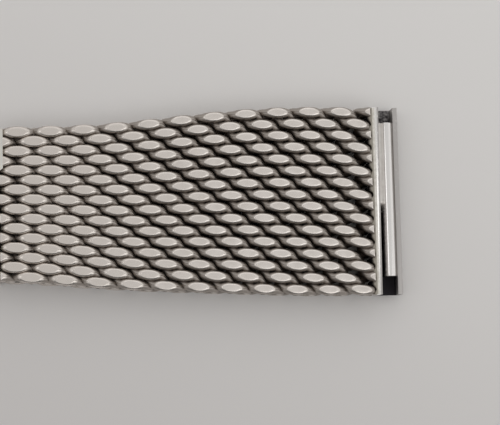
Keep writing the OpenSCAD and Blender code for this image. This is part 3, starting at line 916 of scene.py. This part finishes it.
def wire_steel():
    """Steel wire, polished on its facets, dull on its flanks, and brown and dark inside the weave, which is
    partly soiling and partly painted shade.
    """
    material, tree, shader, coordinates = new_surface("wire_steel", 1.0)
    parts = tree.nodes.new("ShaderNodeSeparateXYZ")
    tree.links.new(coordinates, parts.inputs[0])
    # the depth below the two faces darkens the wire: soiling, and painted shade in the hollows of the weave
    offset = math_node(tree, "ABSOLUTE", math_node(tree, "SUBTRACT", parts.outputs["Z"], MID_Z * MM))
    depth = math_node(tree, "SUBTRACT", HALF_T * MM, offset)
    from_side = tree.nodes.new("ShaderNodeAttribute")
    from_side.attribute_name = "from_side"
    depth = math_node(tree, "MINIMUM", depth, from_side.outputs["Fac"])
    # distance from the strap's middle: the wire is darkest up to 45 mm, at the clasp
    away = math_node(tree, "ABSOLUTE", parts.outputs["X"])
    tone = noise(tree, coordinates, 900, 2)
    tone = math_node(tree, "MULTIPLY", tone, ramp(tree, away, 0.045, 0.075, 0.2, 1.3))
    polished = mix_colour(tree, tone, (0.74, 0.685, 0.635, 1), (0.9, 0.845, 0.795, 1))
    # Hollow is the colour of soiling and of painted shade deep in the weave
    dirt_and_shade_node = place_group(tree, DIRT_AND_SHADE, coordinates, Grime_Starts=0.00032, Grime_Full=0.001,
                        Broken=0.00012, Dull=(0.42, 0.38, 0.345, 1), Grime=(0.12, 0.088, 0.068, 1),
                        Polished_Roughness=0.23, Dull_Roughness=0.4, Grime_Roughness=0.6)
    tree.links.new(ramp(tree, away, 0.048, 0.066, 0.00009, 0.00004), dirt_and_shade_node.inputs["Polish Ends"])
    tree.links.new(ramp(tree, away, 0.048, 0.066, 0.00012, 0.00006), dirt_and_shade_node.inputs["Polish Fade"])
    tree.links.new(polished, dirt_and_shade_node.inputs["Polished"])
    tree.links.new(depth, dirt_and_shade_node.inputs["Depth"])
    tree.links.new(dirt_and_shade_node.outputs["Color"], shader.inputs["Base Color"])
    tree.links.new(dirt_and_shade_node.outputs["Roughness"], shader.inputs["Roughness"])
    grain = noise(tree, coordinates, 9000, 3, stretch=(0.35, 1, 1))
    add_bump(tree, shader, grain, 0.000006)
    return material


def fitting_metal(name, tone_a, tone_b, patches, roughness, bump, stretch, starts=0.0003, full=0.0012,
                  dirt_and_shade_tone=(0.02, 0.017, 0.018), dull=(0.56, 0.54, 0.51), broken=0.0005):
    """Metal of a fitting: two clean tones in patches, a darker colour by the stored depth that is partly
    soiling and partly painted shade, and a fine grain.
    """
    material, tree, shader, coordinates = new_surface(name, 1.0)
    tone = ramp(tree, noise(tree, coordinates, patches, 4, stretch), 0.35, 0.65)
    depth = tree.nodes.new("ShaderNodeAttribute")
    depth.attribute_name = "depth"
    dirt_and_shade_node = place_group(tree, DIRT_AND_SHADE, coordinates, Grime_Starts=starts, Grime_Full=full, Broken=broken,
                        Polish_Ends=0.00005, Polish_Fade=0.0002, Dull=(*dull, 1),
                        Grime=(*dirt_and_shade_tone, 1), Polished_Roughness=roughness, Grime_Roughness=0.7)
    tree.links.new(mix_colour(tree, tone, (*tone_a, 1), (*tone_b, 1)), dirt_and_shade_node.inputs["Polished"])
    tree.links.new(depth.outputs["Fac"], dirt_and_shade_node.inputs["Depth"])
    tree.links.new(dirt_and_shade_node.outputs["Color"], shader.inputs["Base Color"])
    tree.links.new(dirt_and_shade_node.outputs["Roughness"], shader.inputs["Roughness"])
    add_bump(tree, shader, noise(tree, coordinates, 5000, 3, stretch=stretch), bump)
    return material


# %% Give each piece its finish
finishes = [
    (wires, wire_steel()),
    (channels, fitting_metal(
        "channel_steel", (0.88, 0.86, 0.83), (0.94, 0.92, 0.89), patches=700, roughness=0.22, bump=0.000004,
        stretch=(1, 0.05, 1), starts=0.0005, full=0.0016, dirt_and_shade_tone=(0.04, 0.037, 0.042),
        dull=(0.5, 0.48, 0.465), broken=0.0016)),
    (tubes, fitting_metal(
        "tube_steel", (0.84, 0.82, 0.8), (0.9, 0.88, 0.86), patches=500, roughness=0.16, bump=0.000003,
        stretch=(1, 0.04, 1))),
    (brazes, fitting_metal(
        "braze_metal", (0.8, 0.77, 0.74), (0.88, 0.86, 0.83), patches=1500, roughness=0.3, bump=0.00001,
        stretch=(1, 1, 1))),
    (solders, fitting_metal(
        "solder_metal", (0.66, 0.63, 0.575), (0.82, 0.79, 0.73), patches=2600, roughness=0.42, bump=0.00003,
        stretch=(1, 1, 1), starts=0.0004, full=0.0012, dull=(0.38, 0.35, 0.3))),
    (clasp["brushed_cover"], fitting_metal(
        "cover_brushed", (0.62, 0.61, 0.59), (0.78, 0.77, 0.75), patches=2500, roughness=0.25, bump=0.00002,
        stretch=(0.02, 1, 1))),
    (clasp["blade"], fitting_metal(
        "blade_satin", (0.64, 0.625, 0.6), (0.8, 0.785, 0.76), patches=1800, roughness=0.22, bump=0.00001,
        stretch=(0.04, 1, 1))),
    (clasp["pin"], fitting_metal(
        "pin_ground", (0.72, 0.71, 0.69), (0.8, 0.79, 0.77), patches=900, roughness=0.2, bump=0.000004,
        stretch=(1, 0.05, 1))),
    (clasp["spring_steel"], fitting_metal(
        "spring_steel", (0.44, 0.43, 0.4), (0.54, 0.52, 0.48), patches=900, roughness=0.3, bump=0.000006,
        stretch=(0.1, 1, 1))),
    (clasp["end_fitting"], fitting_metal(
        "plate_worn", (0.7, 0.67, 0.62), (0.82, 0.79, 0.74), patches=800, roughness=0.34, bump=0.00001,
        stretch=(1, 0.1, 1))),
]
for pieces, material in finishes:
    for obj in pieces:
        obj.data.materials.append(material)
print(f"{len(finishes)} finishes on {sum(len(pieces) for pieces, _ in finishes)} pieces")

# %% [markdown]
# ## The table
# The bracelet lies on a matt pale board. One big flat face is enough for it, because it goes far past every
# view. Its tone falls off towards the near left, as the background of the picture does. That fall-off is
# painted shade: it is put into the board's own colour, so it costs no light on the metal.

# %% Lay the table
TABLE_SIZE = 1500
TABLE_GAP = 0.02


def table_top():
    """Matt pale board, with painted shade that makes it a little darker towards the near left."""
    material, tree, shader, coordinates = new_surface("table_top", 0.0)
    parts = tree.nodes.new("ShaderNodeSeparateXYZ")
    tree.links.new(coordinates, parts.inputs[0])
    along = math_node(tree, "MULTIPLY", parts.outputs["X"], 0.6)
    across = math_node(tree, "ADD", along, parts.outputs["Y"])
    # painted shade: the board's colour darkens towards the near left
    far = ramp(tree, across, -0.05, 0.11)
    tree.links.new(mix_colour(tree, far, (0.6, 0.575, 0.565, 1), (0.9, 0.885, 0.867, 1)),
                   shader.inputs["Base Color"])
    rough = ramp(tree, noise(tree, coordinates, 300), 0.3, 0.7, 0.85, 0.95)
    tree.links.new(rough, shader.inputs["Roughness"])
    return material


table_points = np.array([[-1, -1, 0], [1, -1, 0], [1, 1, 0], [-1, 1, 0]]) * TABLE_SIZE
table_points = table_points + np.array([0, 0, cad_low.z / MM - TABLE_GAP])
table = make_object("table", table_points, np.array([[0, 1, 2, 3]]))
table.data.materials.append(table_top())
print(f"the table's top is at {cad_low.z / MM - TABLE_GAP:.2f}")

# %% [markdown]
# ## The light
# Polished steel shows what is around it, so the surroundings are the main light: an even, pale tent
# that is a little brighter at the lug end and dark on the near side. That dark side is what draws
# the lower flank of each wire. Three large soft lamps add the bright rims on the facets. Each shows
# in the metal together with the tent behind it, so all of them are weak.

# %% Lamps and surroundings
LIGHT_ABOVE, LIGHT_RIGHT, LIGHT_LOST_NEAR = 0.625, 0.76, 0.5
LAMPS_FACE = Vector((60, 0, 0))
LAMP_DISTANCE = 520


def softbox(name, azimuth, elevation, size, radiance):
    """A square lamp that faces the short half from a compass direction, with an even brightness."""
    a, e = np.radians(azimuth), np.radians(elevation)
    outward = Vector((np.cos(a) * np.cos(e), np.sin(a) * np.cos(e), np.sin(e)))
    data = bpy.data.lights.new(name, "AREA")
    data.shape = "SQUARE"
    data.size = size * MM
    data.energy = radiance * np.pi * data.size ** 2
    lamp = bpy.data.objects.new(name, data)
    lamp.location = (LAMPS_FACE + outward * LAMP_DISTANCE) * MM
    lamp.rotation_euler = (-outward).to_track_quat("-Z", "Y").to_euler()
    scene.collection.objects.link(lamp)


def studio_world():
    """A soft tent of light: even above, brightest at the lug end, and dim on the near side."""
    world = bpy.data.worlds.new("studio")
    world.use_nodes = True
    tree = world.node_tree
    direction = tree.nodes.new("ShaderNodeTexCoord").outputs["Generated"]
    parts = tree.nodes.new("ShaderNodeSeparateXYZ")
    tree.links.new(direction, parts.inputs[0])
    right = ramp(tree, parts.outputs["X"], 0.2, 0.7, LIGHT_ABOVE, LIGHT_RIGHT)
    near = ramp(tree, parts.outputs["Y"], -0.8, -0.45, LIGHT_LOST_NEAR, 0.0)
    background = tree.nodes["Background"]
    background.inputs["Color"].default_value = (1, 0.99, 0.98, 1)
    tree.links.new(math_node(tree, "SUBTRACT", right, near), background.inputs["Strength"])
    return world


softbox("left_light", 174, 46, 200, 0.8)
softbox("right_light", -50, 56, 330, 0.5)
softbox("far_light", 88, 40, 400, 0.25)
scene.world = studio_world()
scene.view_settings.view_transform = "Standard"

# %% Print the sizes
print("cad", [round(v / MM, 2) for v in (*cad_low, *cad_high)])
